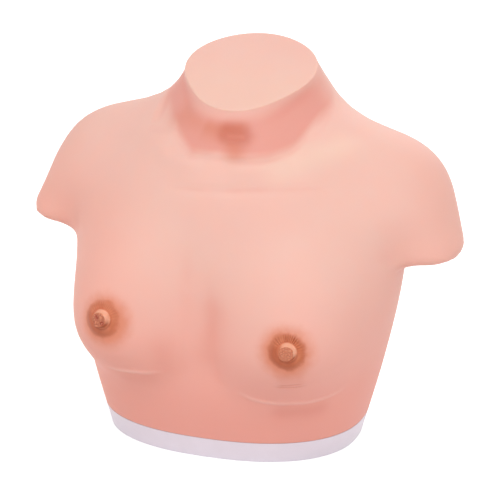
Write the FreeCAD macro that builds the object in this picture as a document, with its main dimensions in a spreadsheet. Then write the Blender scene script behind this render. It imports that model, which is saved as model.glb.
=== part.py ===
import FreeCAD, Part
import math
import os
import Sketcher

# A breast examination model: a soft moulded upper torso on a white base, with feelable
# lumps cast inside each breast. Lengths are millimetres and angles are degrees.
# Up is +Z, the chest faces -Y and +X is the torso's own left. The origin is the middle of
# the base's underside.

os.makedirs("parts", exist_ok=True)
doc = FreeCAD.newDocument("BreastExaminationModel")
sheet = doc.addObject("Spreadsheet::Sheet", "Dimensions")

SIZES = [
    # base and the flank stations above it: half widths, then depths to the front and back
    ("base_half_width", 116.5),
    ("base_half_depth", 89.5),
    ("base_height", 20.0),
    ("waist_half_width", 135.5),
    ("rib_half_width", 150.5),
    ("armpit_half_width", 156.5),
    ("shoulder_half_width", 138.0),
    ("waist_front", 105.5),
    ("rib_front", 101.0),
    ("armpit_front", 98.5),
    ("shoulder_front", 97.5),
    ("waist_back", 103.0),
    ("rib_back", 103.0),
    ("armpit_back", 115.5),
    ("shoulder_back", 108.0),
    ("squareness", 2.32),
    # the slope that closes the trunk at the shoulders
    ("shoulder_top", 346.5),
    ("shoulder_slope", 0.58),
    ("shoulder_lean", 0.43),
    ("shoulder_round", 106.0),
    # neck, cut off by a plane that tips forward
    ("neck_half_width", 58.5),
    ("neck_half_depth", 50.5),
    ("neck_height", 333.5),
    ("neck_setback", 32.0),
    ("neck_forward_lean", 0.28),
    ("neck_flare", 0.07),
    ("neck_tilt", 18.0),
    ("neck_blend", 25.0),
    # arm stumps: a tapering limb from the shoulder point, cut off below
    ("arm_out", 135.0),
    ("arm_setback", 43.0),
    ("arm_height", 221.0),
    ("arm_radius", 51.0),
    ("arm_droop", 56.5),
    ("arm_reach", 93.5),
    ("arm_end_radius", 36.5),
    ("arm_forward", 34.0),
    ("arm_blend", 54.5),
    ("armpit_blend", 14.8),
    ("stump_out", 176.0),
    ("stump_height", 177.0),
    ("stump_angle", 4.6),
    ("stump_round", 12.0),
    # breasts
    ("breast_out", 91.0),
    ("breast_height", 120.0),
    ("breast_rise", 35.0),
    ("breast_half_width", 92.0),
    ("breast_below", 69.0),
    ("breast_above", 115.0),
    ("breast_fullness", 2.1),
    ("breast_turn", 27.0),
    # nipples and areolae
    ("nipple_out", 86.5),
    ("left_nipple_height", 126.5),
    ("right_nipple_height", 134.5),
    ("nipple_radius", 9.4),
    ("nipple_tip_radius", 5.6),
    ("nipple_length", 7.2),
    ("areola_radius", 12.0),
    ("areola_crown", 1.4),
    ("areola_edge", 1.2),
    ("areola_root", 9.0),
    # the spigot that keeps the torso on its base
    ("spigot_half_width", 88.0),
    ("spigot_half_depth", 60.0),
    ("spigot_height", 8.0),
    ("spigot_gap", 0.5),
]

row_number = 0
for name, value in SIZES:
    row_number += 1
    sheet.set("A%d" % row_number, name)
    sheet.set("B%d" % row_number, str(value))
    sheet.setAlias("B%d" % row_number, name)

# the lumps: node, side (+1 is the torso's left), radius, then its place from the nipple:
# outward, upward, and the cover of soft skin over it
LUMPS = [
    ("left_firm_lump", 1, 8.0, 20.0, 24.0, 12.0),
    ("left_cyst_lump", 1, 10.0, -26.0, -14.0, 10.0),
    ("right_hard_lump", -1, 9.0, 18.0, 26.0, 9.0),
    ("right_small_lump", -1, 5.0, -20.0, 16.0, 8.0),
    ("right_soft_lump", -1, 7.0, -14.0, -24.0, 10.0),
]
for name, side, radius, out, up, cover in LUMPS:
    for tail, value in (("radius", radius), ("out", out), ("up", up), ("cover", cover)):
        row_number += 1
        sheet.set("A%d" % row_number, name + "_" + tail)
        sheet.set("B%d" % row_number, str(value))
        sheet.setAlias("B%d" % row_number, name + "_" + tail)
doc.recompute()


def size(name):
    return float(sheet.get(name))


D = {}
for name, value in SIZES:
    D[name] = size(name)


def near_min(a, b, k):
    """The lesser of two distances, with the corner between them rounded over k."""
    h = max(k - abs(a - b), 0.0) / k
    return min(a, b) - h * h * k * 0.25


def near_max(a, b, k):
    return -near_min(-a, -b, k)


def ease(t):
    t = min(max(t, 0.0), 1.0)
    return t * t * (3.0 - 2.0 * t)


# heights of the flank stations, spaced between the base and the shoulder
TOP = D["shoulder_top"]
STATION_Z = [0.0, 0.2105 * TOP, 0.421 * TOP, 0.667 * TOP, 0.877 * TOP]


def station_slopes(values):
    out = []
    last = len(values) - 1
    for i in range(last + 1):
        if i == 0:
            out.append((values[1] - values[0]) / (STATION_Z[1] - STATION_Z[0]))
        elif i == last:
            out.append((values[i] - values[i - 1]) / (STATION_Z[i] - STATION_Z[i - 1]))
        else:
            under = STATION_Z[i] - STATION_Z[i - 1]
            over = STATION_Z[i + 1] - STATION_Z[i]
            rise = under * under * (values[i + 1] - values[i])
            rise += over * over * (values[i] - values[i - 1])
            out.append(rise / (under * over * (under + over)))
    return out


def through_stations(z, values, slopes):
    z = min(max(z, STATION_Z[0]), STATION_Z[-1])
    i = 0
    while i < len(STATION_Z) - 2 and z > STATION_Z[i + 1]:
        i += 1
    gap = STATION_Z[i + 1] - STATION_Z[i]
    t = (z - STATION_Z[i]) / gap
    t2 = t * t
    t3 = t2 * t
    low = (2 * t3 - 3 * t2 + 1) * values[i] + (t3 - 2 * t2 + t) * gap * slopes[i]
    high = (3 * t2 - 2 * t3) * values[i + 1] + (t3 - t2) * gap * slopes[i + 1]
    return low + high


PLACES = ("waist", "rib", "armpit", "shoulder")
WIDTHS = [D["base_half_width"]] + [D[p + "_half_width"] for p in PLACES]
FRONTS = [D["base_half_depth"]] + [D[p + "_front"] for p in PLACES]
BACKS = [D["base_half_depth"]] + [D[p + "_back"] for p in PLACES]
WIDTH_SLOPES = station_slopes(WIDTHS)
FRONT_SLOPES = station_slopes(FRONTS)
BACK_SLOPES = station_slopes(BACKS)

TILT = math.radians(D["neck_tilt"])
DROOP = math.radians(D["arm_droop"])
STUMP = math.radians(D["stump_angle"])
TURN = math.radians(D["breast_turn"])
ARM = (D["arm_reach"] * math.cos(DROOP), -D["arm_forward"], -D["arm_reach"] * math.sin(DROOP))
ARM_SQUARE = ARM[0] ** 2 + ARM[1] ** 2 + ARM[2] ** 2
BREAST_PIVOT = 1.25 * D["base_half_depth"]
NECK_FOOT = D["neck_height"] - 79.0


def swelling(across, over):
    """Height of a breast above the plain chest, as a share of its rise."""
    reach = D["breast_below"] if over < 0 else D["breast_above"]
    r2 = (across / D["breast_half_width"]) ** 2 + (over / reach) ** 2
    if r2 >= 1.0:
        return 0.0
    return (1.0 - r2) ** D["breast_fullness"]


def torso_distance(x, y, z):
    """Below nought inside the torso, above it outside; about millimetres near the skin."""
    front = min(max((28.0 - y) / 48.0, 0.0), 1.0)
    back_x = x
    back_y = y
    if front > 0.0:
        for side in (-1, 1):
            across = (x - side * D["breast_out"]) * math.cos(TURN)
            across += side * (y + BREAST_PIVOT) * math.sin(TURN)
            rise = D["breast_rise"] * swelling(across, z - D["breast_height"]) * front
            back_x -= side * rise * math.sin(TURN)
            back_y += rise * math.cos(TURN)
    x = back_x
    y = back_y
    # trunk: a squarish column, closed at the top by the shoulder slope
    half = through_stations(z, WIDTHS, WIDTH_SLOPES)
    if y < 0:
        deep = through_stations(z, FRONTS, FRONT_SLOPES)
    else:
        deep = through_stations(z, BACKS, BACK_SLOPES)
    n = D["squareness"]
    rho = (abs(x / half) ** n + abs(y / deep) ** n) ** (1.0 / n) + 1e-9
    r = math.hypot(x, y)
    column = r * (1.0 - 1.0 / rho) if r > 1.0 else -deep
    slope = D["shoulder_slope"]
    roof = z + slope * math.sqrt(x * x + 576.0) - D["shoulder_lean"] * y - TOP
    roof /= math.sqrt(1.0 + slope * slope)
    body = near_max(column, roof, D["shoulder_round"])
    # neck: an oval column that leans forward and flares toward its root
    up = z - D["neck_height"]
    middle = D["neck_setback"] - D["neck_forward_lean"] * up
    wider = D["neck_flare"] * max(-up, -36.0)
    rx = D["neck_half_width"] + wider
    ry = D["neck_half_depth"] + wider
    r = math.hypot(x, y - middle)
    rho = math.hypot(x / rx, (y - middle) / ry) + 1e-9
    neck = r * (1.0 - 1.0 / rho) if r > 1.0 else -rx
    neck = near_max(neck, NECK_FOOT - z, 36.0)
    body = near_min(body, neck, D["neck_blend"])
    # arm: a tapering limb, cut off by the stump plane before it is blended in
    out = abs(x)
    if out > 40.0:
        dx = out - D["arm_out"]
        dy = y - D["arm_setback"]
        dz = z - D["arm_height"]
        t = (dx * ARM[0] + dy * ARM[1] + dz * ARM[2]) / ARM_SQUARE
        t = min(max(t, 0.0), 1.0)
        radius = D["arm_radius"] + (D["arm_end_radius"] - D["arm_radius"]) * ease(t)
        dx -= t * ARM[0]
        dy -= t * ARM[1]
        dz -= t * ARM[2]
        arm = math.sqrt(dx * dx + dy * dy + dz * dz) - radius
        cut = (out - D["stump_out"]) * math.sin(STUMP)
        cut -= (z - D["stump_height"]) * math.cos(STUMP)
        arm = near_max(arm, cut, D["stump_round"])
        t = ease((z - D["stump_height"] + 5.0) / 60.0)
        blend = D["armpit_blend"] + (D["arm_blend"] - D["armpit_blend"]) * t
        body = near_min(body, arm, blend)
    return body


# Section guides, from the base to the neck. Each is a path from the midline out through the
# flank, the stump, the shoulder or the neck: height at the midline, a point on the way
# (out, height), the point aimed at (out, height), how far out its fan of rays is centred,
# and how many sections lie between it and the next guide.
PIT = D["stump_height"]
HALF = D["armpit_half_width"]
TIP = D["arm_out"] + ARM[0] + 0.68 * D["arm_end_radius"]
BASE_TOP = D["base_height"]
HEAD = D["neck_height"]


def beyond(share):
    """A place out along the arm: 0 at the armpit, 1 at the stump's outer edge."""
    return HALF + share * (TIP - HALF)


def over_pit(share):
    """A height over the armpit: 0 at the stump's plane, 1 at the neck's cut."""
    return PIT + share * (HEAD - PIT)


GUIDES = [
    (0.0, 0.70 * HALF, 0.0, 1.4 * HALF, 0.0, 0.58 * HALF, 1),
    (BASE_TOP, 0.70 * HALF, BASE_TOP, 1.4 * HALF, BASE_TOP, 0.58 * HALF, 3),
    (0.37 * PIT, 0.76 * HALF, 0.40 * PIT, 1.4 * HALF, 0.40 * PIT, 0.64 * HALF, 4),
    (0.63 * PIT, 0.80 * HALF, 0.67 * PIT, 1.42 * HALF, 0.67 * PIT, 0.68 * HALF, 4),
    (0.85 * PIT, 0.83 * HALF, 0.90 * PIT, 1.42 * HALF, 0.92 * PIT, 0.71 * HALF, 2),
    (over_pit(-0.10), 0.94 * HALF, over_pit(0.02), beyond(0.32), over_pit(-0.06), 0.74 * HALF, 1),
    (over_pit(-0.04), HALF, over_pit(0.08), beyond(0.63), over_pit(-0.055), 0.80 * HALF, 1),
    (over_pit(0.016), beyond(0.12), over_pit(0.13), beyond(1.1), over_pit(-0.07), 0.89 * HALF, 1),
    (over_pit(0.06), beyond(0.22), over_pit(0.165), beyond(1.24), over_pit(-0.047), 0.93 * HALF, 1),
    (over_pit(0.103), beyond(0.28), over_pit(0.19), beyond(1.4), over_pit(0.015), 0.96 * HALF, 1),
    (over_pit(0.16), beyond(0.28), over_pit(0.227), beyond(1.47), over_pit(0.134), 0.96 * HALF, 2),
    (over_pit(0.26), beyond(0.17), over_pit(0.29), beyond(1.4), over_pit(0.408), 0.92 * HALF, 3),
    (over_pit(0.377), 0.97 * HALF, over_pit(0.364), beyond(0.95), over_pit(0.657), 0.82 * HALF, 3),
    (over_pit(0.49), 0.83 * HALF, over_pit(0.452), beyond(0.33), over_pit(0.776), 0.67 * HALF, 2),
    (over_pit(0.595), 0.66 * HALF, over_pit(0.545), 0.9 * HALF, over_pit(0.826), 0.50 * HALF, 2),
    (over_pit(0.72), 0.43 * HALF, over_pit(0.67), 0.73 * HALF, over_pit(0.907), 0.29 * HALF, 2),
    (over_pit(0.85), 0.31 * HALF, over_pit(0.826), 0.69 * HALF, over_pit(0.975), 0.17 * HALF, 2),
    (HEAD, 0.28 * HALF, HEAD, 0.69 * HALF, HEAD, 0.10 * HALF, 0),
]
FRONT_STEPS = 13
BACK_STEPS = 7
LEAN_FROM = 9.0


def between(before, this, after, last, t):
    """A smooth run from one guide to the next."""
    out = []
    for a, b, c, d in zip(before, this, after, last):
        bend = (2 * a - 5 * b + 4 * c - d) * t * t + (3 * b - a - 3 * c + d) * t * t * t
        out.append(0.5 * (2 * b + (c - a) * t + bend))
    return out


def along(p0, p1, p2, p3, t):
    if t > 1.0:
        return p3 + 3.0 * (p3 - p2) * (t - 1.0)
    s = 1.0 - t
    return s * s * s * p0 + 3 * s * s * t * p1 + 3 * s * t * t * p2 + t * t * t * p3


def skin_point(guide, lean, middle, angle):
    """Walk outward from inside the torso, along one ray of a section, to the skin."""
    mid_z, via_x, via_z, aim_x, aim_z, centre = guide
    reach = math.hypot(aim_x, aim_z - mid_z)
    ca = math.cos(angle)
    sa = math.sin(angle)

    def place(t):
        share = (centre + t) * ca / reach
        y = middle + t * sa
        x = along(0.0, 0.6 * via_x, via_x, aim_x, share)
        z = along(mid_z, mid_z, via_z, aim_z, share)
        z += lean * (y - D["neck_setback"])
        return x, y, z

    inner = 0.0
    inner_d = torso_distance(*place(0.0))
    outer = 0.0
    outer_d = inner_d
    for step in range(80):
        if outer_d > -0.02:
            break
        inner = outer
        inner_d = outer_d
        outer += max(-inner_d * 0.8, 0.3)
        outer_d = torso_distance(*place(outer))
    t = outer
    for step in range(14):
        if outer_d == inner_d:
            break
        t = inner + (outer - inner) * (-inner_d) / (outer_d - inner_d)
        d = torso_distance(*place(t))
        if abs(d) < 1e-4:
            break
        if d < 0:
            inner = t
            inner_d = d
        else:
            outer = t
            outer_d = d
    x, y, z = place(t)
    return FreeCAD.Vector(x, y, z)


def section_ring(guide, turn):
    """One closed section, from the front midline round the left side and back by the right."""
    lean = ease((turn - LEAN_FROM) / (len(GUIDES) - 1 - LEAN_FROM)) * math.tan(TILT)
    share = min(max((turn - LEAN_FROM) / (len(GUIDES) - 1 - LEAN_FROM), 0.0), 1.0)
    middle = 12.0 + (D["neck_setback"] - 12.0) * share
    angles = []
    for i in range(FRONT_STEPS):
        angles.append(-90.0 + 90.0 * i / FRONT_STEPS)
    for i in range(BACK_STEPS + 1):
        angles.append(90.0 * i / BACK_STEPS)
    left = []
    for angle in angles:
        left.append(skin_point(guide, lean, middle, math.radians(angle)))
    left[0].x = 0.0
    left[-1].x = 0.0
    right = [FreeCAD.Vector(-p.x, p.y, p.z) for p in left[-2:0:-1]]
    return left + right


def section_rings():
    rings = []
    last = len(GUIDES) - 1
    for i in range(last):
        before = GUIDES[max(i - 1, 0)][:6]
        after = GUIDES[i + 1][:6]
        then = GUIDES[min(i + 2, last)][:6]
        for j in range(GUIDES[i][6]):
            t = j / GUIDES[i][6]
            rings.append(section_ring(between(before, GUIDES[i][:6], after, then, t), i + t))
    rings.append(section_ring(GUIDES[last][:6], float(last)))
    return rings


def ring_poles(ring):
    """Control points that carry a smooth closed curve through the ring's points."""
    out = []
    count = len(ring)
    for i in range(count):
        bend = ring[i - 1] - ring[i] * 2.0 + ring[(i + 1) % count]
        out.append(ring[i] - bend * (1.0 / 6.0))
    return out


def band_face(lower, upper):
    """The skin between two sections: smooth around, straight from one to the other."""
    count = len(lower)
    face = Part.BSplineSurface()
    knots = list(range(count + 1))
    face.buildFromPolesMultsKnots([lower, upper], [2, 2], [1] * (count + 1), [0, 1],
                                  knots, False, True, 1, 3)
    return face.toShape()


def closed_solid(poles):
    """Sections stacked into one closed solid with flat ends, its bands taken from the top down."""
    faces = []
    for i in reversed(range(len(poles) - 1)):
        faces.append(band_face(poles[i], poles[i + 1]))
    for ring in (poles[0], poles[-1]):
        curve = Part.BSplineCurve()
        count = len(ring)
        curve.buildFromPolesMultsKnots(ring, [1] * (count + 1), list(range(count + 1)), True, 3)
        faces.append(Part.Face(Part.Wire([curve.toShape()])))
    shell = Part.makeShell(faces)
    shell.sewShape()
    solid = Part.makeSolid(shell)
    if solid.Volume < 0:
        solid.reverse()
    return solid


poles = [ring_poles(ring) for ring in section_rings()]
torso_form = doc.addObject("Part::Feature", "TorsoForm")
torso_form.Shape = closed_solid(poles[1:])
base_form = doc.addObject("Part::Feature", "BaseForm")
base_form.Shape = closed_solid(poles[:2])


def surface_frame(x, z):
    """The skin's point straight in front of (x, z) and its outward normal there."""
    y = -40.0
    d = torso_distance(x, y, z)
    for step in range(200):
        if d > -0.001:
            break
        y += d * 0.7 if d < -0.05 else -0.02
        d = torso_distance(x, y, z)
    e = 2.0
    nx = torso_distance(x + e, y, z) - torso_distance(x - e, y, z)
    ny = torso_distance(x, y + e, z) - torso_distance(x, y - e, z)
    nz = torso_distance(x, y, z + e) - torso_distance(x, y, z - e)
    normal = FreeCAD.Vector(nx, ny, nz)
    normal.normalize()
    return FreeCAD.Vector(x, y, z), normal


def bound(kind, name, **cells):
    made = doc.addObject(kind, name)
    for prop, formula in cells.items():
        made.setExpression(prop, formula)
    return made


def turned(name, profile):
    """A body turned from a closed outline. Each corner is a pair of formulas: out, up."""
    body = doc.addObject("PartDesign::Body", name)
    sketch = body.newObject("Sketcher::SketchObject", name + "Outline")
    plane = [f for f in body.Origin.OriginFeatures if f.Role == "XZ_Plane"][0]
    sketch.AttachmentSupport = [(plane, "")]
    sketch.MapMode = "FlatFace"
    count = len(profile)
    corners = []
    for i in range(count):
        around = i * 2.0 * math.pi / count
        corners.append(FreeCAD.Vector(4.0 + 3.0 * math.cos(around), 4.0 + 3.0 * math.sin(around), 0))
    for i in range(count):
        sketch.addGeometry(Part.LineSegment(corners[i], corners[(i + 1) % count]), False)
    for i in range(count):
        sketch.addConstraint(Sketcher.Constraint("Coincident", i, 2, (i + 1) % count, 1))
    for i in range(count):
        for axis, formula in zip("XY", profile[i]):
            if formula == "0" and axis == "X":
                sketch.addConstraint(Sketcher.Constraint("PointOnObject", i, 1, -2))
            elif formula == "0":
                sketch.addConstraint(Sketcher.Constraint("PointOnObject", i, 1, -1))
            else:
                start = corners[i].x if axis == "X" else corners[i].y
                rule = Sketcher.Constraint("Distance" + axis, -1, 1, i, 1, start)
                made = sketch.addConstraint(rule)
                sketch.setExpression("Constraints[%d]" % made, formula)
    doc.recompute()
    turn = body.newObject("PartDesign::Revolution", name + "Turned")
    turn.Profile = (sketch, [""])
    turn.ReferenceAxis = (sketch, ["V_Axis"])
    turn.Angle = 360.0
    body.Tip = turn
    sketch.Visibility = False
    return body


SIDES = (("left", 1), ("right", -1))
ROOT = "Dimensions.areola_root"
CROWN = ROOT + " - Dimensions.areola_edge + Dimensions.areola_crown"
NIPPLE = [
    ("0", "0"),
    ("Dimensions.areola_radius", "0"),
    ("Dimensions.areola_radius", ROOT + " - Dimensions.areola_edge"),
    ("Dimensions.nipple_radius", CROWN),
    ("Dimensions.nipple_tip_radius", CROWN + " + Dimensions.nipple_length"),
    ("0", CROWN + " + Dimensions.nipple_length"),
]
added = [torso_form]
for side, way in SIDES:
    spot, normal = surface_frame(way * D["nipple_out"], D[side + "_nipple_height"])
    nipple = turned(side.capitalize() + "Nipple", NIPPLE)
    turn = FreeCAD.Rotation(FreeCAD.Vector(0, 0, 1), normal)
    nipple.Placement = FreeCAD.Placement(spot - normal * D["areola_root"], turn)
    added.append(nipple)
doc.recompute()
moulding = doc.addObject("Part::MultiFuse", "TorsoMoulding")
moulding.Shapes = added

# lumps, cast into the breasts: small faceted beads, bevelled toward both ends
removed = []
lumps = []
for name, way, radius, out, up, cover in LUMPS:
    side = "left" if way > 0 else "right"
    r = "Dimensions." + name + "_radius"
    bead = doc.addObject("PartDesign::Body", "".join(w.capitalize() for w in name.split("_")))
    gem = bead.newObject("PartDesign::AdditivePrism", name + "_gem")
    gem.Polygon = 12
    gem.setExpression("Circumradius", r)
    gem.setExpression("Height", r + " * 2")
    doc.recompute()
    ends = []
    for i, face in enumerate(gem.Shape.Faces):
        if len(face.Edges) > 4:
            ends.append("Face%d" % (i + 1))
    bevel = bead.newObject("PartDesign::Chamfer", name + "_bevel")
    bevel.Base = (gem, ends)
    bevel.setExpression("Size", r + " * 0.55")
    bead.Tip = bevel
    x = way * (D["nipple_out"] + size(name + "_out"))
    spot, normal = surface_frame(x, D[side + "_nipple_height"] + size(name + "_up"))
    turn = FreeCAD.Rotation(FreeCAD.Vector(0, 0, 1), normal)
    depth = size(name + "_cover") + 2.0 * size(name + "_radius")
    bead.Placement = FreeCAD.Placement(spot - normal * depth, turn)
    bead.Label = name
    removed.append(bead)
    lumps.append(bead)

# the recess that drops over the base's spigot
recess = bound("Part::Ellipse", "RecessOutline",
               MajorRadius="Dimensions.spigot_half_width + Dimensions.spigot_gap",
               MinorRadius="Dimensions.spigot_half_depth + Dimensions.spigot_gap")
recess.Placement = FreeCAD.Placement(FreeCAD.Vector(0, 0, D["base_height"] - 1.0), FreeCAD.Rotation())
recess_block = doc.addObject("Part::Extrusion", "RecessBlock")
recess_block.Base = recess
recess_block.Dir = FreeCAD.Vector(0, 0, 1)
recess_block.Solid = True
recess_block.setExpression("LengthFwd", "Dimensions.spigot_height + Dimensions.spigot_gap + 1")
removed.append(recess_block)
hollows = doc.addObject("Part::MultiFuse", "TorsoHollows")
hollows.Shapes = removed
torso = doc.addObject("Part::Cut", "Torso")
torso.Base = moulding
torso.Tool = hollows
torso.Label = "torso"

# base: the white plinth with its oval spigot
outline = bound("Part::Ellipse", "SpigotOutline",
                MajorRadius="Dimensions.spigot_half_width",
                MinorRadius="Dimensions.spigot_half_depth")
outline.Placement = FreeCAD.Placement(FreeCAD.Vector(0, 0, D["base_height"] - 4.0), FreeCAD.Rotation())
spigot = doc.addObject("Part::Extrusion", "Spigot")
spigot.Base = outline
spigot.Dir = FreeCAD.Vector(0, 0, 1)
spigot.Solid = True
spigot.setExpression("LengthFwd", "Dimensions.spigot_height + 4")
base = doc.addObject("Part::Fuse", "BasePlate")
base.Base = base_form
base.Tool = spigot
base.Label = "base_plate"

finished = [torso, base] + lumps
doc.recompute()

for thing in doc.Objects:
    if "Invalid" in thing.State or "Error" in thing.State:
        raise RuntimeError("%s did not build: %s" % (thing.Name, thing.State))
for thing in finished:
    if thing.Shape.isNull() or not thing.Shape.isValid():
        raise RuntimeError("%s has no sound shape" % thing.Label)
    thing.Shape.exportStep("parts/%s.step" % thing.Label)
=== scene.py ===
import math

import bmesh
import bpy
import numpy as np
from mathutils import Matrix, Quaternion, Vector


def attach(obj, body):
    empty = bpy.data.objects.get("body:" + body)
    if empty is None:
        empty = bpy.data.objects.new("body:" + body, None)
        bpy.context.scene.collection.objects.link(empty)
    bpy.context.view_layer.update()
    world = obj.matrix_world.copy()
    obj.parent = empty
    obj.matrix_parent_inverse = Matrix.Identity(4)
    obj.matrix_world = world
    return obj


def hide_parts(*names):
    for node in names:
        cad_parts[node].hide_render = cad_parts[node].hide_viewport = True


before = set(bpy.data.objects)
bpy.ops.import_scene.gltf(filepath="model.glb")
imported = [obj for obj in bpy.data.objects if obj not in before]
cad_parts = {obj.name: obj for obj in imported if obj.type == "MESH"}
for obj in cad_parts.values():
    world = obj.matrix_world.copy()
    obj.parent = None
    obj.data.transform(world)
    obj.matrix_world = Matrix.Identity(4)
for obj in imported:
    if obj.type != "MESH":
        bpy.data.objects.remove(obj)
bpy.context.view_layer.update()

# The looks of a breast examination model: a soft moulded torso on a white base. Points and
# sizes of the sculpting are in millimetres in the part's own frame. Everything else is in
# metres.
MM = 0.001

# Sizes shared with the solids
NECK_HEIGHT = 333.5
NECK_SETBACK = 32.0
NECK_TILT = math.radians(18.0)
CAP_NORMAL = Vector((0.0, -math.sin(NECK_TILT), math.cos(NECK_TILT)))
BASE_TOP = 20.0
RECESS_HALF_WIDTH = 88.5
RECESS_HALF_DEPTH = 60.5
RECESS_TOP = 28.5

# Remeshing. The skin runs on past both flat cuts while it is smoothed by shrinking and
# swelling in turn, and is cut again afterwards.
WELD = 0.002
FLAT = 0.999
FLAT_SLACK = 0.3
EXTRA = 14.0
NECK_AXIS = Vector((0.0, -0.22, 1.0)).normalized()
FOOT_TAPER = 0.972
SKIN_GRID = 2.6
SMOOTHING = 24
SMOOTHING_SHARES = (0.6, -0.58)

# Cutting. The rims are welded and evened out, and their edges are rounded.
ON_PLANE = 0.01
RIM_WELD = 0.9
RIM_ROUNDS = 3
RIM_REACH = 4
EDGE_ROUND = 1.3
ROUND_STEPS = 4
CAP_RINGS = (0.94, 0.88, 0.82, 0.8, 0.7, 0.5)
RECESS_RINGS = (0.6, 0.3)

# Nipples: place on the skin, and which way they face
NIPPLES = (
    ((86.5, -124.2, 126.5), (0.136, -0.982, 0.129)),
    ((-86.5, -122.9, 134.5), (-0.139, -0.971, 0.197)),
)

# For each nipple: how strongly the areola is wrinkled, how deeply the tip is pitted, how dark
# the areola is, and how far its halo lies to the side
NIPPLE_MARKS = ((1.0, 0.0, 1.0, -1.5), (0.35, 1.0, 0.78, 2.5))
NIPPLE_SEED = 5
HALO_DROP = 1.5

# The plain breast under a nipple is fitted to the skin in a ring round it
FIT_RING = (17.0, 34.0)
FIT_DEPTH = (-30.0, 14.0)
FIT_BLEND = (15.0, 22.0)

# Distances from a nipple's middle, with heights over the breast or depths under it
AREOLA_HEIGHT = 1.2
AREOLA_EDGE = (12.5, 17.5)
WRINKLE_DEPTH = 0.7
WRINKLE_START = (8.6, 10.0)
WRINKLE_END = (13.2, 17.2)
NIPPLE_HEIGHT = 5.8
NIPPLE_EDGE = (6.3, 8.4)
TIP_EDGE = (5.9, 6.8)
COBBLE_SIZE = 2.3
COBBLE_HEIGHT = 0.8
COBBLE_REACH = 9.0
PIT_DEPTH = 0.8

# Rings round a nipple: radius, half width and depth
GROOVE = (7.2, 0.8, 0.5)
DITCH = (9.2, 0.9, 0.4)

# Painted rings round a nipple: where they start and are full, and where they fall and end
GLEAM_RING = ((6.2, 6.9), (7.8, 9.2))
SHADE_RING = ((8.0, 10.5), (14.0, 18.5))

# What counts as near a nipple, across and along its axis, and a distance past all paint
NEAR_ACROSS = 45.0
NEAR_ALONG = 26.0
PAST_PAINT = 99.0

# A tip's pits: place, size and strength, then a ring-shaped one, then the knob between them
PITS = ((-2.7, 2.9, 1.1, 1.0), (-1.2, 1.2, 1.2, 1.0), (-4.0, -3.2, 1.0, 0.5))
RING_PIT = (4.0, -2.6, 1.3, 0.6)
PIT_KNOB = (0.5, 0.9, 0.9, 0.8)

# Soft forms of the chest: the line that each follows, its half width, its height over the
# skin (below nought sinks it), and whether the right side mirrors the left
FORMS = (
    # the throat's notch and its foot
    (((6, -50, 297), (18, -48, 297)), 9.0, -6.0, False),
    (((11, -55, 291), (16, -62, 281)), 9.0, -0.6, False),
    # the collar bones' heads, the collar bones, and the dip under both
    (((8, -70, 270), (26, -68, 268), (46, -59, 270), (64, -44, 274)), 8.0, 2.4, True),
    (((50, -54, 274), (78, -34, 279), (106, -8, 282), (128, 16, 280)), 10.0, 1.6, True),
    (((-60, -69, 245), (-34, -76, 248), (-10, -80, 250), (20, -78, 252),
      (43, -71, 253), (67, -60, 253), (90, -45, 252), (112, -27, 253)), 4.5, -1.8, False),
    # the furrows right and left of the breastbone
    (((-18, -97, 215), (-15, -103, 180), (-14, -105, 160), (-13, -108, 135),
      (-14, -110, 110), (-18, -108, 80), (-20, -104, 60)), 13.0, -2.0, False),
    (((4, -98, 190), (8, -104, 160), (10, -107, 140), (11, -110, 118),
      (18, -108, 84), (26, -104, 60)), 12.0, -2.2, False),
)

# Thin raised lines under the breasts, as left by the mould, and two thin creases over one
FOLDS = (
    ((28, -107, 76), (39, -107, 73), (49, -104, 69), (60, -102, 67), (72, -98, 66),
     (83, -94, 66), (93, -87, 66), (104, -79, 67), (114, -68, 70), (124, -55, 76)),
    ((-92, -103, 84), (-81, -109, 83), (-69, -112, 83), (-57, -112, 84), (-47, -112, 84),
     (-32, -111, 86)),
)
CREASES = (
    ((74, -116, 90), (86, -114, 91), (98, -110, 93)),
    ((70, -116, 88), (86, -112, 88), (101, -106, 91)),
)
FOLD_HALF_WIDTH = 2.3
FOLD_HEIGHT = 1.0
CREASE_HALF_WIDTH = 1.2
CREASE_DEPTH = 0.6

# Where the skin is split finely: round the folds and creases, and within these distances of
# each nipple, with the cuts to an edge
FOLD_SPLIT_WIDTH = 5.0
FOLD_SPLIT_LEVEL = 0.2
FOLD_SPLIT_CUTS = 2
NIPPLE_SPLITS = ((21.0, 3), (15.5, 2))
NIPPLE_SPLIT_DEPTH = 15.0

# A long line's closeness fades over this share of it at both ends, down to a faint rest
LONG_LINE = 3.0
END_FADE = 0.25
FAINT = 0.001
FAR = 1e9

# How far under the cap's plane the neck meets the chest, at places across from right to left
FOOT_ACROSS = (-76.0, -62.0, -50.0, -39.0, -25.0, 0.0, 12.0, 25.0, 45.0, 60.0, 70.0, 78.0)
FOOT_UNDER = (-30.0, -24.5, -21.0, -22.5, -25.5, -23.5, -24.5, -25.5, -27.5, -28.0, -26.5, -29.0)

# The neck's wall over that line, as hollowed and as shaded: the soft edge's width at its
# foot, where it starts to fade under the cap's plane, and where it starts to fade backward
HOLLOW_WALL = (6.0, -9.0, 0.0)
SHADE_WALL = (4.5, -12.0, 15.0)
EDGE_BELOW = 0.3
CAP_FADE_END = 4.0
BACK_FADE = 50.0
NECK_HOLLOW = 4.2

# The notch's painted shade, and the warmer painted shade round it: line, half width and strength
NOTCH_LINE = ((4, -50, 298), (19, -48, 297))
NOTCH_WIDTH = 8.5
NECK_SOFT_SHADES = (
    (((-26, -38, 305), (10, -47, 299), (26, -45, 298)), 16.0, 1.0),
    (((-46, -26, 302), (-20, -42, 302)), 14.0, 0.5),
    (((10, -53, 292), (15, -60, 284)), 10.0, 1.0),
)

# Heights over the cap's plane: where the soft painted shade fades, and what counts as wall and as
# cap
SOFT_SHADE_FADE = (-13.0, -5.0)
WALL_TOP = -0.4
CAP_RIM = -0.9
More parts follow.
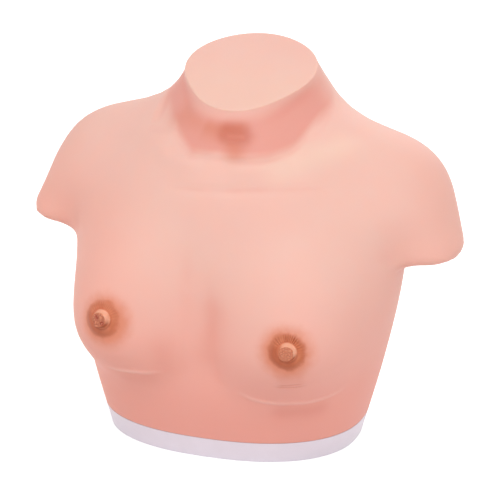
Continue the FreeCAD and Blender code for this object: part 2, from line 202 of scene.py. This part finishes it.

# From back to front, where the painted light on the cap's front half starts and where it is full
CAP_FRONT = (60.0, -15.0)

# Painted shade, redder, under and between the breasts and along the creases: the line that each
# follows, its half width and its strength
BREAST_SHADES = (
    (((-32, -115, 110), (-30, -113, 92)), 14.0, 0.2),
    (((12, -106, 145), (9, -108, 108)), 13.0, 0.24),
    (((-70, -104, 72), (-46, -109, 79)), 9.0, 0.14),
    (((58, -97, 57), (87, -85, 55), (112, -64, 58)), 10.0, 0.26),
    (((72, -117, 96), (102, -110, 98)), 9.0, 0.2),
)

# Painted highlight along the left collar bone
COLLAR_HIGHLIGHT = (
    (30, -70, 268), (52, -58, 269), (74, -38, 275), (93, -11, 278), (104, 8, 282), (112, 24, 284),
)
COLLAR_HIGHLIGHT_WIDTH = 13.0

# Rounds of smoothing that tell the skin's dips, and that spread them out; the dips get painted
# shade
DIP_ROUNDS = 10
DIP_SPREAD = 6

# Tints, in the order that they are laid on: the noted share of the skin, how much of it
# counts, and the colour as seen on screen. On the chest all are painted shade but the
# collar bone's painted highlight; round the nipples all are painted shade, shadow and
# highlight but the tip's own colour.
CHEST_TINTS = (
    ("breast_shade", 1.0, (216, 122, 102)),
    ("collar_highlight", 0.5, (242, 206, 186)),
    ("crease_shade", 0.4, (204, 126, 104)),
    ("neck_shade", 0.7, (224, 140, 126)),
    ("neck_soft_shade", 0.72, (210, 120, 90)),
    ("notch", 0.97, (177, 70, 37)),
)
NIPPLE_TINTS = (
    ("areola_shade", 0.42, (166, 76, 44)),
    ("wrinkle", 0.9, (158, 72, 36)),
    ("nipple_tip", 0.9, (206, 129, 97)),
    ("cobble_gap_shade", 0.45, (164, 82, 56)),
    ("nipple_shadow", 0.75, (146, 64, 36)),
    ("tip_pit_shade", 0.85, (158, 52, 34)),
    ("nipple_gleam", 0.8, (252, 190, 160)),
)

# The photograph's view. The focal length is so many times the sensor's width.
AZIMUTH = math.radians(18.125)
ELEVATION = math.radians(20.217)
ROLL = math.radians(0.555)
CAMERA_DISTANCE = 2.86
CAMERA_TARGET = Vector((0.0, 0.004, 0.16647))
CAMERA_SHIFT = 0.00919
SENSOR = 36.0
FOCAL_SHARE = 6.2806

# Lamps: name, place, size and power
LAMPS = (
    ("key", (-0.2, -1.3, 2.1), 1.6, 13.5),
    ("spark", (0.5, -1.2, 2.2), 0.4, 3.0),
    ("fill", (1.9, -1.3, 0.9), 1.8, 10.0),
    ("side", (-1.8, -1.3, 0.35), 1.8, 5.5),
    ("back", (0.4, 2.0, 1.4), 1.8, 12.0),
)
LAMP_AIM = Vector((0.0, 0.0, 0.17))
WORLD_LIGHT = 0.68
FLOOR_SIZE = 60.0
FLOOR_DROP = 0.0004
FLOOR_GREY = 0.74
FLOOR_GLOW = 0.6


def read_points(mesh):
    out = np.empty(len(mesh.vertices) * 3)
    mesh.vertices.foreach_get("co", out)
    return out.reshape(-1, 3)


def write_points(mesh, points):
    mesh.vertices.foreach_set("co", np.ascontiguousarray(points, dtype=np.float32).ravel())
    mesh.update()


def read_normals(mesh):
    out = np.empty(len(mesh.vertices) * 3, dtype=np.float32)
    mesh.vertex_normals.foreach_get("vector", out)
    return out.reshape(-1, 3).astype(float)


def read_edges(mesh):
    out = np.empty(len(mesh.edges) * 2, dtype=np.int64)
    mesh.edges.foreach_get("vertices", out)
    return out.reshape(-1, 2)


def note(mesh, name, values):
    """Notes a share on the mesh's points, for its material to read."""
    layer = mesh.attributes.new(name, "FLOAT", "POINT")
    layer.data.foreach_set("value", np.ascontiguousarray(values, dtype=np.float32))


def smooth_step(low, high, value):
    t = np.clip((value - low) / (high - low), 0.0, 1.0)
    return t * t * (3.0 - 2.0 * t)


def within(value, rise, fall):
    """One between two smooth steps, nought outside them."""
    return smooth_step(*rise, value) * (1.0 - smooth_step(*fall, value))


def bell(value, middle, half_width):
    return np.exp(-((value - middle) / half_width) ** 2)


def relax(points, edges, rounds, shares=(0.5,)):
    """Evens the points out along their edges. A share below nought swells them back."""
    a, b = edges.T
    count = len(points)
    near = np.bincount(a, minlength=count) + np.bincount(b, minlength=count)
    for _ in range(rounds):
        for share in shares:
            for axis in range(points.shape[1]):
                value = points[:, axis]
                total = np.bincount(a, value[b], count) + np.bincount(b, value[a], count)
                points[:, axis] += share * (total / np.maximum(near, 1) - value)
    return points


def over_cap(points):
    """Height of points over the plane that cuts the neck."""
    rise = math.tan(NECK_TILT) * (points[:, 1] - NECK_SETBACK)
    return (points[:, 2] - NECK_HEIGHT - rise) * math.cos(NECK_TILT)


def line_closeness(points, line, half_width):
    """One on the line, falling to nought within a few half widths. A long line also fades
    toward its ends."""
    line = np.array(line, dtype=float)
    lengths = np.linalg.norm(np.diff(line, axis=0), axis=1)
    total = lengths.sum()
    near = np.full(len(points), FAR)
    place = np.zeros(len(points))
    run = 0.0
    for i, length in enumerate(lengths):
        way = line[i + 1] - line[i]
        t = np.clip(((points - line[i]) @ way) / (way @ way), 0.0, 1.0)
        away = np.linalg.norm(points - line[i] - t[:, None] * way, axis=1)
        closer = away < near
        near[closer] = away[closer]
        place[closer] = (run + t[closer] * length) / total
        run += length
    out = bell(near, 0.0, half_width)
    if total > LONG_LINE * half_width:
        inner = smooth_step(0.0, END_FADE, place)
        inner *= 1.0 - smooth_step(1.0 - END_FADE, 1.0, place)
        out *= FAINT + (1.0 - FAINT) * inner
    return out


def keep_outside(bm):
    """Drops the walls of the hollows inside. The outside has the most corners."""
    seen = set()
    best = []
    for start in bm.verts:
        if start in seen:
            continue
        seen.add(start)
        island = [start]
        for vert in island:
            for edge in vert.link_edges:
                other = edge.other_vert(vert)
                if other not in seen:
                    seen.add(other)
                    island.append(other)
        if len(island) > len(best):
            best = island
    keep = set(best)
    bmesh.ops.delete(bm, geom=[v for v in bm.verts if v not in keep], context="VERTS")


def run_on_past_cuts(bm):
    """Carries the skin on past the neck's cap and the foot."""
    cap = []
    foot = []
    for face in bm.faces:
        middle = np.array([tuple(face.calc_center_median())])
        if face.normal.dot(CAP_NORMAL) > FLAT and abs(over_cap(middle)[0]) < FLAT_SLACK:
            cap.append(face)
        elif face.normal.z < -FLAT and middle[0, 2] < BASE_TOP + FLAT_SLACK:
            foot.append(face)
    down = Vector((0.0, 0.0, -1.0))
    for faces, way, taper in ((cap, NECK_AXIS, 1.0), (foot, down, FOOT_TAPER)):
        made = bmesh.ops.extrude_face_region(bm, geom=faces)
        moved = [item for item in made["geom"] if isinstance(item, bmesh.types.BMVert)]
        bmesh.ops.translate(bm, verts=moved, vec=way * EXTRA)
        bmesh.ops.delete(bm, geom=faces, context="FACES")
        for vert in moved:
            vert.co.x *= taper
            vert.co.y *= taper


def even_skin():
    """The moulding's outer surface, remeshed evenly and run on past both of its flat cuts."""
    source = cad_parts["torso"]
    mesh = source.data.copy()
    mesh.transform(source.matrix_world)
    mesh.transform(Matrix.Scale(1.0 / MM, 4))
    bm = bmesh.new()
    bm.from_mesh(mesh)
    bmesh.ops.remove_doubles(bm, verts=bm.verts, dist=WELD)
    keep_outside(bm)
    bm.normal_update()
    run_on_past_cuts(bm)
    bm.to_mesh(mesh)
    bm.free()
    piece = bpy.data.objects.new("torso_skin", mesh)
    bpy.context.collection.objects.link(piece)
    even = piece.modifiers.new("even", "REMESH")
    even.mode = "VOXEL"
    even.voxel_size = SKIN_GRID
    depsgraph = bpy.context.evaluated_depsgraph_get()
    skin = bpy.data.meshes.new_from_object(piece.evaluated_get(depsgraph))
    piece.modifiers.clear()
    piece.data = skin
    points = relax(read_points(skin), read_edges(skin), SMOOTHING, SMOOTHING_SHARES)
    write_points(skin, points)
    return piece


def nipple_axes(facing):
    """Unit directions across, up and out of a nipple that faces this way."""
    normal = Vector(facing).normalized()
    across = Vector((0.0, 0.0, 1.0)).cross(normal).normalized()
    upward = normal.cross(across)
    return np.array(across), np.array(upward), np.array(normal)


def nipple_frame(points, spot, facing):
    """Points seen from a nipple: across, up and out."""
    across, upward, normal = nipple_axes(facing)
    away = points - np.array(spot)
    return away @ across, away @ upward, away @ normal


def cubic_terms(u, v):
    """The terms of a cubic surface over a plane."""
    return np.stack([np.ones_like(u), u, v, u ** 2, u * v, v ** 2,
                     u ** 3, u ** 2 * v, u * v ** 2, v ** 3], axis=1)


def plain_breasts(points):
    """Takes the solid nipples off, so that the breasts run on smoothly under them."""
    for spot, facing in NIPPLES:
        u, v, w = nipple_frame(points, spot, facing)
        r = np.hypot(u, v)
        near = (r < FIT_RING[1]) & (w > FIT_DEPTH[0]) & (w < FIT_DEPTH[1])
        ring = near & (r > FIT_RING[0])
        fit = np.linalg.lstsq(cubic_terms(u[ring], v[ring]), w[ring], rcond=None)[0]
        inside = near & (r < FIT_BLEND[1])
        flat = cubic_terms(u[inside], v[inside]) @ fit
        share = 1.0 - smooth_step(*FIT_BLEND, r[inside])
        points[inside] += ((flat - w[inside]) * share)[:, None] * nipple_axes(facing)[2]
    return points


def neck_wall(points, edge, fade, front):
    """One on the neck's wall, nought on the chest, with a soft edge at its foot. It fades
    toward the cap and toward the back."""
    under = over_cap(points)
    foot = np.interp(points[:, 0], FOOT_ACROSS, FOOT_UNDER)
    wall = smooth_step(foot - EDGE_BELOW * edge, foot + (1.0 - EDGE_BELOW) * edge, under)
    wall *= 1.0 - smooth_step(fade, CAP_FADE_END, under)
    return wall * (1.0 - smooth_step(front, front + BACK_FADE, points[:, 1]))


def sculpt(skin):
    """Raises and sinks the soft forms of the chest."""
    points = read_points(skin)
    rise = np.zeros(len(points))
    for line, half_width, height, mirrored in FORMS:
        rise += height * line_closeness(points, line, half_width)
        if mirrored:
            other = [(-x, y, z) for x, y, z in line]
            rise += height * line_closeness(points, other, half_width)
    rise -= NECK_HOLLOW * neck_wall(points, *HOLLOW_WALL)
    points += rise[:, None] * read_normals(skin)
    write_points(skin, points)


def ordered_loop(edges):
    """The corners of a closed chain of edges, in order."""
    links = {}
    for edge in edges:
        for vert in edge.verts:
            links.setdefault(vert, []).append(edge.other_vert(vert))
    start = next(iter(links))
    chain = [start]
    before = None
    here = start
    while True:
        onward = [v for v in links[here] if v is not before]
        before, here = here, onward[0]
        if here is start:
            return chain
        chain.append(here)


def cut_loop(bm, origin, normal):
    """Cuts the skin by a plane and gives the open edge's corners in order."""
    def on_cut(vert):
        return abs((vert.co - origin).dot(normal)) < ON_PLANE

    geom = list(bm.verts) + list(bm.edges) + list(bm.faces)
    bmesh.ops.bisect_plane(bm, geom=geom, plane_co=origin, plane_no=normal, clear_outer=True)
    rim = [v for v in bm.verts if v.is_boundary and on_cut(v)]
    bmesh.ops.remove_doubles(bm, verts=rim, dist=RIM_WELD)
    chain = ordered_loop([e for e in bm.edges if e.is_boundary and on_cut(e.verts[0])])
    count = len(chain)
    for _ in range(RIM_ROUNDS):
        middles = [(chain[i - 1].co + chain[(i + 1) % count].co) * 0.5 for i in range(count)]
        for vert, middle in zip(chain, middles):
            vert.co = vert.co.lerp(middle, 0.5)
    return chain


def bridge(bm, lower, upper):
    """A band of faces between two rings."""
    count = len(lower)
    for i in range(count):
        j = (i + 1) % count
        face = bm.faces.new((lower[i], lower[j], upper[j], upper[i]))
        face.smooth = True


def round_off(bm, chain, normal, more_rings):
    """Rounds a cut's edge inward, then carries it on through more rings and closes it."""
    middle = sum((v.co for v in chain), Vector()) / len(chain)
    count = len(chain)
    inward = []
    for i in range(count):
        tangent = (chain[(i + RIM_REACH) % count].co - chain[i - RIM_REACH].co).normalized()
        way = normal.cross(tangent).normalized()
        if way.dot(middle - chain[i].co) < 0.0:
            way.negate()
        inward.append(way)
    last = chain
    for step in range(1, ROUND_STEPS + 1):
        angle = 0.5 * math.pi * step / ROUND_STEPS
        ring = []
        for i in range(count):
            place = chain[i].co + inward[i] * EDGE_ROUND * (1.0 - math.cos(angle))
            ring.append(bm.verts.new(place + normal * EDGE_ROUND * math.sin(angle)))
        bridge(bm, last, ring)
        last = ring
    for place in more_rings:
        ring = [bm.verts.new(place(v.co, middle)) for v in last]
        bridge(bm, last, ring)
        last = ring
    bm.faces.new(last)


def drawn_to_middle(share, lift):
    """A ring from the one before, drawn toward the cut's middle as lifted."""
    return lambda p, middle: (middle + lift) + (p - middle - lift) * share


def drawn_to_axis(share):
    """A ring from the one before, drawn toward the upright axis."""
    return lambda p, middle: Vector((p.x * share, p.y * share, p.z))


def on_recess(height):
    """A ring on the recess's oval wall at this height."""
    def place(p, middle):
        angle = math.atan2(p.y / RECESS_HALF_DEPTH, p.x / RECESS_HALF_WIDTH)
        x, y = RECESS_HALF_WIDTH * math.cos(angle), RECESS_HALF_DEPTH * math.sin(angle)
        return Vector((x, y, height))
    return place


def finish_cuts(skin):
    """The neck's flat cap, and the underside with its recess."""
    bm = bmesh.new()
    bm.from_mesh(skin)
    lift = CAP_NORMAL * EDGE_ROUND
    chain = cut_loop(bm, Vector((0.0, NECK_SETBACK, NECK_HEIGHT)) - lift, CAP_NORMAL)
    round_off(bm, chain, CAP_NORMAL, [drawn_to_middle(share, lift) for share in CAP_RINGS])
    down = Vector((0.0, 0.0, -1.0))
    chain = cut_loop(bm, Vector((0.0, 0.0, BASE_TOP + EDGE_ROUND)), down)
    rings = [on_recess(BASE_TOP), on_recess(RECESS_TOP)]
    round_off(bm, chain, down, rings + [drawn_to_axis(share) for share in RECESS_RINGS])
    bmesh.ops.recalc_face_normals(bm, faces=bm.faces)
    bm.to_mesh(skin)
    bm.free()


def refine(skin):
    """Splits the skin finely where the areolae, the nipples and the folds stand."""
    bm = bmesh.new()
    bm.from_mesh(skin)

    def corners():
        return np.array([tuple(v.co) for v in bm.verts])

    def split(chosen, cuts):
        inside = {vert for vert, hit in zip(bm.verts, chosen) if hit}
        edges = [e for e in bm.edges if e.verts[0] in inside and e.verts[1] in inside]
        bmesh.ops.subdivide_edges(bm, edges=edges, cuts=cuts, use_grid_fill=True)

    for line in FOLDS + CREASES:
        close = line_closeness(corners(), line, FOLD_SPLIT_WIDTH)
        split(close > FOLD_SPLIT_LEVEL, FOLD_SPLIT_CUTS)
    for reach, cuts in NIPPLE_SPLITS:
        for spot, facing in NIPPLES:
            u, v, w = nipple_frame(corners(), spot, facing)
            split((np.hypot(u, v) < reach) & (np.abs(w) < NIPPLE_SPLIT_DEPTH), cuts)
    bm.to_mesh(skin)
    bm.free()


def hollowness(skin):
    """How much the skin dips in around each point: above nought in folds and dimples."""
    edges = read_edges(skin)
    points = read_points(skin)
    soft = relax(points.copy(), edges, DIP_ROUNDS)
    dip = ((soft - points) * read_normals(skin)).sum(axis=1)
    return relax(dip[:, None], edges, DIP_SPREAD)[:, 0]


def raise_folds(skin):
    """Raises the mould's thin lines under the breasts and presses the creases in."""
    points = read_points(skin)
    folds = np.zeros(len(points))
    creases = np.zeros(len(points))
    for line in FOLDS:
        folds = np.maximum(folds, line_closeness(points, line, FOLD_HALF_WIDTH))
    for line in CREASES:
        creases = np.maximum(creases, line_closeness(points, line, CREASE_HALF_WIDTH))
    rise = FOLD_HEIGHT * folds - CREASE_DEPTH * creases
    points += rise[:, None] * read_normals(skin)
    write_points(skin, points)
    # Their shares are painted too: highlight along the lines, shade in the creases
    return {"fold_highlight": folds, "crease_shade": creases}


def cobbles(u, v, seed):
    """Rounded cobbles over a plane: one on their tops, nought between them."""
    count = int(4.0 * COBBLE_REACH ** 2 / COBBLE_SIZE ** 2)
    spots = np.random.default_rng(seed).uniform(-COBBLE_REACH, COBBLE_REACH, (count, 2))
    first = np.full(len(u), FAR)
    second = np.full(len(u), FAR)
    for x, y in spots:
        away = np.hypot(u - x, v - y)
        closer = away < first
        second = np.where(closer, first, np.minimum(second, away))
        first = np.where(closer, away, first)
    return np.clip((second - first) / COBBLE_SIZE, 0.0, 1.0)


def toward(around, way):
    """One on the side of the nipple that faces this way, nought on the other."""
    return smooth_step(-0.1, 0.75, np.cos(around - way))


def blob(u, v, x, y, size, strength):
    """A soft round spot."""
    return strength * np.exp(-((u - x) ** 2 + (v - y) ** 2) / (size * size))


def tip_pits(u, v):
    """The small pits in a nipple's tip."""
    pits = sum(blob(u, v, *pit) for pit in PITS)
    x, y, radius, half_width = RING_PIT
    pits += bell(np.hypot(u - x, v - y), radius, half_width)
    return pits * (1.0 - blob(u, v, *PIT_KNOB))


def nipple_forms(u, v, seed, wrinkled, pitted):
    """Height of the areola and nipple over the plain breast, and shares for the paint: painted
    shade, shadow and highlight, and the tip's own colour.
    """
    r = np.hypot(u, v)
    around = np.arctan2(v, u)
    phase = np.random.default_rng(seed).uniform(0.0, 6.28, 4)
    wobble = 0.25 * np.sin(3 * around + phase[0]) + 0.2 * np.sin(5 * around + phase[1])
    areola = 1.0 - smooth_step(*AREOLA_EDGE, r + wobble)
    slope = 1.0 - smooth_step(*NIPPLE_EDGE, r + wobble)
    on_tip = 1.0 - smooth_step(*TIP_EDGE, r + wobble)

    # spokes, strongest on the upper side and uneven round the areola
    upper = smooth_step(0.0, 0.85, np.sin(around + 0.15))
    uneven = 0.65 + 0.35 * np.sin(7.0 * around + phase[2]) * np.sin(3.0 * around + phase[3])
    wrinkle = np.sin(19.0 * around + phase[2] + 1.4 * np.sin(3.0 * around + phase[3])) ** 2
    wrinkle *= smooth_step(*WRINKLE_START, r) * (1.0 - smooth_step(*WRINKLE_END, r + 3.0 * wobble))
    wrinkle *= (0.08 + 0.92 * upper) * uneven * wrinkled

    cobble = cobbles(u, v, seed)
    pits = tip_pits(u, v) * pitted * on_tip
    groove = bell(r, *GROOVE[:2]) * toward(around, -0.75)
    ditch = bell(r, *DITCH[:2])
    height = AREOLA_HEIGHT * areola + NIPPLE_HEIGHT * slope
    height += COBBLE_HEIGHT * (cobble - 0.5) * on_tip - PIT_DEPTH * pits
    height -= WRINKLE_DEPTH * wrinkle + GROOVE[2] * groove + DITCH[2] * ditch

    paint = {
        "nipple_tip": on_tip,
        # painted shade in the gaps between the cobbles
        "cobble_gap_shade": on_tip * (1.0 - smooth_step(0.05, 0.5, cobble)) * (0.8 + 0.6 * pitted),
        "nipple_gleam": within(r, *GLEAM_RING) * toward(around, 1.0),
        # painted shadow under the tip, along its groove and ditch
        "nipple_shadow": np.maximum(groove, 0.5 * ditch * toward(around, -1.2)),
        # painted shade in the tip's pits
        "tip_pit_shade": pits,
        "areola_shade": within(r, *SHADE_RING) * toward(around, -2.2),
        # painted shade in the wrinkles, which are also pressed in
        "wrinkle": wrinkle,
    }
    return height, paint


def raise_nipples(skin):
    """Moves the split skin out into areolae and nipples and gives the notes for the paint."""
    points = read_points(skin)
    radius = np.full(len(points), PAST_PAINT)
    halo = np.full(len(points), PAST_PAINT)
    notes = {"areola_dark": np.zeros(len(points))}
    for number, (spot, facing) in enumerate(NIPPLES):
        u, v, w = nipple_frame(points, spot, facing)
        r = np.hypot(u, v)
        near = (r < NEAR_ACROSS) & (np.abs(w) < NEAR_ALONG)
        wrinkled, pitted, dark, halo_across = NIPPLE_MARKS[number]
        halo[near] = np.hypot(u[near] - halo_across, v[near] + HALO_DROP)
        seed = NIPPLE_SEED + number
        height, paint = nipple_forms(u[near], v[near], seed, wrinkled, pitted)
        points[near] += height[:, None] * nipple_axes(facing)[2]
        radius[near] = np.minimum(radius[near], r[near])
        notes["areola_dark"][near] = dark
        for name, share in paint.items():
            notes.setdefault(name, np.zeros(len(points)))[near] += share
    write_points(skin, points)
    notes["areola_radius"] = radius
    notes["halo_radius"] = halo
    return notes


def chest_notes(points):
    """Shares for the paint of the neck, its cap and the chest: painted shade on the neck, in its
    notch and on the chest, and painted light on the cap and along the collar bone.
    """
    under = over_cap(points)
    soft_shade = np.zeros(len(points))
    for line, half_width, share in NECK_SOFT_SHADES:
        soft_shade = np.maximum(soft_shade, share * line_closeness(points, line, half_width))
    breast_shade = sum(share * line_closeness(points, line, width) for line, width, share in BREAST_SHADES)
    return {
        "neck_soft_shade": soft_shade * (1.0 - smooth_step(*SOFT_SHADE_FADE, under)),
        "notch": line_closeness(points, NOTCH_LINE, NOTCH_WIDTH),
        "breast_shade": breast_shade,
        "collar_highlight": line_closeness(points, COLLAR_HIGHLIGHT, COLLAR_HIGHLIGHT_WIDTH),
        "neck_shade": neck_wall(points, *SHADE_WALL) * (under < WALL_TOP),
        "cap_front_light": smooth_step(*CAP_FRONT, points[:, 1]) * (under > CAP_RIM),
    }


def make_skin():
    """The torso's dressed skin, with all that its paint needs noted on its points."""
    piece = even_skin()
    skin = piece.data
    write_points(skin, plain_breasts(read_points(skin)))
    sculpt(skin)
    finish_cuts(skin)
    refine(skin)
    notes = {"dip": hollowness(skin)}
    notes.update(raise_folds(skin))
    notes.update(raise_nipples(skin))
    points = read_points(skin)
    notes.update(chest_notes(points))
    for name, values in notes.items():
        note(skin, name, values)
    write_points(skin, points * MM)
    skin.shade_smooth()
    return piece


def srgb(r, g, b):
    """A colour as seen on screen, 0 to 255, as linear light."""
    out = []
    for value in (r, g, b):
        value /= 255.0
        out.append(value / 12.92 if value <= 0.04045 else ((value + 0.055) / 1.055) ** 2.4)
    return tuple(out) + (1.0,)


class Nodes:
    """A node tree and short ways to add its nodes."""

    def __init__(self, tree):
        self.tree = tree

    def add(self, kind, **settings):
        made = self.tree.nodes.new(kind)
        for key, value in settings.items():
            setattr(made, key, value)
        return made

    def feed(self, socket, value):
        if isinstance(value, bpy.types.NodeSocket):
            self.tree.links.new(value, socket)
        else:
            socket.default_value = value

    def attribute(self, name):
        return self.add("ShaderNodeAttribute", attribute_name=name).outputs["Fac"]

    def maths(self, kind, a, b=0.0):
        made = self.add("ShaderNodeMath", operation=kind)
        self.feed(made.inputs[0], a)
        self.feed(made.inputs[1], b)
        return made.outputs[0]

    def times(self, a, b):
        return self.maths("MULTIPLY", a, b)

    def span(self, value, low, high, out_low=0.0, out_high=1.0):
        """A smooth step from one value to another."""
        made = self.add("ShaderNodeMapRange", interpolation_type="SMOOTHSTEP")
        for socket, item in zip(made.inputs, (value, low, high, out_low, out_high)):
            self.feed(socket, item)
        return made.outputs[0]

    def mix(self, share, a, b):
        made = self.add("ShaderNodeMix", data_type="RGBA")
        self.feed(made.inputs["Factor"], share)
        self.feed(made.inputs[6], a)
        self.feed(made.inputs[7], b)
        return made.outputs[2]

    def tint(self, colour, share, amount, paint):
        """Lays a colour over another by this amount of a share."""
        return self.mix(self.times(share, amount), colour, srgb(*paint))

    def noise(self, scale, detail):
        made = self.add("ShaderNodeTexNoise")
        self.feed(made.inputs["Vector"], self.add("ShaderNodeTexCoord").outputs["Object"])
        self.feed(made.inputs["Scale"], scale)
        self.feed(made.inputs["Detail"], detail)
        return made.outputs["Fac"]

    def seen(self):
        """One where the camera looks, straight or by way of gloss or glass."""
        path = self.add("ShaderNodeLightPath")
        out = self.maths("MAXIMUM", path.outputs["Is Camera Ray"], path.outputs["Is Glossy Ray"])
        return self.maths("MAXIMUM", out, path.outputs["Is Transmission Ray"])


class Material(Nodes):
    """A material with one Principled shader."""

    def __init__(self, name):
        self.material = bpy.data.materials.new(name)
        self.material.use_nodes = True
        super().__init__(self.material.node_tree)
        self.shader = self.tree.nodes["Principled BSDF"]

    def set(self, name, value):
        self.feed(self.shader.inputs[name], value)

    def bump(self, height, strength, distance):
        made = self.add("ShaderNodeBump")
        self.feed(made.inputs["Strength"], strength)
        self.feed(made.inputs["Distance"], distance)
        self.feed(made.inputs["Height"], height)
        self.set("Normal", made.outputs[0])


def body_colour(m):
    """The skin's general colour: mottled, with painted shade, darker and redder, below, on the
    arms and on the right.
    """
    place = m.add("ShaderNodeSeparateXYZ")
    m.feed(place.inputs[0], m.add("ShaderNodeTexCoord").outputs["Object"])
    x, z = place.outputs["X"], place.outputs["Z"]
    mottle = m.span(m.noise(14.0, 2.0), 0.35, 0.65)
    colour = m.tint(srgb(236, 188, 174), mottle, 0.35, (235, 179, 166))
    patches = m.span(m.noise(48.0, 3.0), 0.4, 0.62)
    colour = m.tint(colour, patches, 0.3, (240, 184, 168))
    # painted shade: darker and redder toward the bottom
    low = m.span(z, 0.22, 0.03)
    colour = m.tint(colour, low, 0.72, (240, 156, 141))
    # painted shade: darker and redder toward the arms' ends
    arm_shade = m.span(m.maths("ABSOLUTE", x), 0.12, 0.2)
    colour = m.tint(colour, arm_shade, 0.4, (232, 165, 149))
    # painted shade: redder on the torso's right side, lower down
    right = m.times(m.span(x, -0.02, -0.12), m.span(z, 0.27, 0.2))
    return m.tint(colour, right, 0.45, (242, 166, 148))


def skin_material():
    m = Material("soft_skin")
    colour = body_colour(m)
    # painted light: the cap's front half lighter
    colour = m.tint(colour, m.attribute("cap_front_light"), 0.45, (236, 194, 174))
    # painted highlight along the mould's thin lines under the breasts
    colour = m.tint(colour, m.attribute("fold_highlight"), 0.35, (250, 205, 192))
    # painted shade, redder, where the skin dips in
    hollow_shade = m.span(m.attribute("dip"), 0.02, 0.5)
    colour = m.tint(colour, hollow_shade, 0.4, (224, 140, 124))
    for name, amount, paint in CHEST_TINTS:
        colour = m.tint(colour, m.attribute(name), amount, paint)

    # the areola's disc and edge are ragged, and so is the halo round it
    wander = m.times(m.maths("SUBTRACT", m.noise(120.0, 3.0), 0.5), 6.0)
    ragged = m.maths("ADD", m.attribute("areola_radius"), wander)
    halo = m.span(m.maths("ADD", m.attribute("halo_radius"), wander), 14.0, 31.0, 1.0, 0.0)
    colour = m.tint(colour, halo, 0.88, (220, 132, 100))
    disc = m.times(m.span(ragged, 12.0, 19.0, 1.0, 0.0), m.attribute("areola_dark"))
    brown = m.mix(m.noise(300.0, 2.0), srgb(190, 96, 56), srgb(208, 116, 74))
    pale = m.span(m.noise(70.0, 2.0), 0.45, 0.65, 0.0, 0.5)
    brown = m.mix(pale, brown, srgb(222, 138, 100))
    colour = m.mix(m.times(disc, 0.86), colour, brown)
    edge = m.times(m.span(ragged, 10.5, 14.0), m.span(ragged, 15.0, 18.5, 1.0, 0.0))
    edge = m.times(edge, m.attribute("areola_dark"))
    colour = m.tint(colour, edge, 0.38, (172, 82, 44))
    for name, amount, paint in NIPPLE_TINTS:
        colour = m.tint(colour, m.attribute(name), amount, paint)

    m.set("Base Color", colour)
    m.set("Roughness", m.span(disc, 0.0, 1.0, 0.56, 0.38))
    m.set("Specular IOR Level", 0.38)
    m.set("Subsurface Weight", 0.12)
    m.set("Subsurface Radius", (0.008, 0.003, 0.0015))
    m.set("Subsurface Scale", 1.0)
    m.bump(m.noise(900.0, 3.0), 0.12, 0.0003)
    return m.material


def base_material():
    m = Material("white_base")
    speck = m.span(m.noise(60.0, 2.0), 0.3, 0.7)
    m.set("Base Color", m.tint(srgb(236, 227, 237), speck, 0.4, (231, 222, 231)))
    m.set("Roughness", 0.42)
    m.set("Specular IOR Level", 0.4)
    m.bump(m.noise(700.0, 2.0), 0.05, 0.0002)
    return m.material


def lump_material():
    m = Material("lump_rubber")
    m.set("Base Color", m.mix(m.noise(90.0, 2.0), srgb(196, 172, 150), srgb(182, 158, 136)))
    m.set("Roughness", 0.6)
    m.bump(m.noise(800.0, 2.0), 0.1, 0.0002)
    return m.material


def wear(piece, material):
    """Gives a piece this one material."""
    piece.data.materials.clear()
    piece.data.materials.append(material)


def lit_floor():
    """A pale floor that looks white and keeps the object's shadow."""
    bpy.ops.mesh.primitive_plane_add(size=FLOOR_SIZE, location=(0.0, 0.0, -FLOOR_DROP))
    floor = bpy.context.object
    floor.name = "floor"
    m = Material("pale_floor")
    m.set("Base Color", (FLOOR_GREY, FLOOR_GREY, FLOOR_GREY, 1.0))
    m.set("Roughness", 0.9)
    m.set("Specular IOR Level", 0.0)
    m.set("Emission Color", (1.0, 1.0, 1.0, 1.0))
    m.set("Emission Strength", m.times(m.seen(), FLOOR_GLOW))
    wear(floor, m.material)


def lit_world():
    """An even light from all round, white where the camera sees it."""
    world = bpy.data.worlds.new("studio")
    bpy.context.scene.world = world
    world.use_nodes = True
    m = Nodes(world.node_tree)
    back = m.tree.nodes["Background"]
    m.feed(back.inputs["Color"], (1.0, 1.0, 1.0, 1.0))
    m.feed(back.inputs["Strength"], m.span(m.seen(), 0.0, 1.0, WORLD_LIGHT, 1.0))


def soft_lamp(name, place, size, power):
    """A round lamp that points at the torso."""
    light = bpy.data.lights.new(name, "AREA")
    light.shape = "DISK"
    light.size = size
    light.energy = power
    lamp = bpy.data.objects.new(name, light)
    bpy.context.collection.objects.link(lamp)
    lamp.location = place
    lamp.rotation_euler = (LAMP_AIM - Vector(place)).to_track_quat("-Z", "Y").to_euler()


def photo_camera():
    """The photograph's view: long lens, a little above and to the torso's left."""
    level = math.cos(ELEVATION)
    back = Vector((math.sin(AZIMUTH) * level, -math.cos(AZIMUTH) * level, math.sin(ELEVATION)))
    right = Vector((math.cos(AZIMUTH), math.sin(AZIMUTH), 0.0))
    data = bpy.data.cameras.new("camera")
    data.sensor_width = SENSOR
    data.lens = SENSOR * FOCAL_SHARE
    data.clip_end = 50.0
    camera = bpy.data.objects.new("camera", data)
    bpy.context.collection.objects.link(camera)
    turn = back.to_track_quat("Z", "Y")
    camera.rotation_mode = "QUATERNION"
    camera.rotation_quaternion = turn @ Quaternion((0.0, 0.0, 1.0), ROLL)
    camera.location = CAMERA_TARGET + right * CAMERA_SHIFT + back * CAMERA_DISTANCE
    bpy.context.scene.camera = camera


skin_piece = make_skin()
wear(skin_piece, skin_material())
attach(skin_piece, "root")
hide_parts("torso")

skin_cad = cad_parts["torso"]
wear(skin_cad, skin_piece.data.materials[0])
base_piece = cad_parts["base_plate"]
wear(base_piece, base_material())
lump_rubber = lump_material()
for name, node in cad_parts.items():
    if name.endswith("_lump"):
        wear(node, lump_rubber)

lit_floor()
lit_world()
for lamp_row in LAMPS:
    soft_lamp(*lamp_row)
photo_camera()
bpy.context.scene.view_settings.view_transform = "Standard"
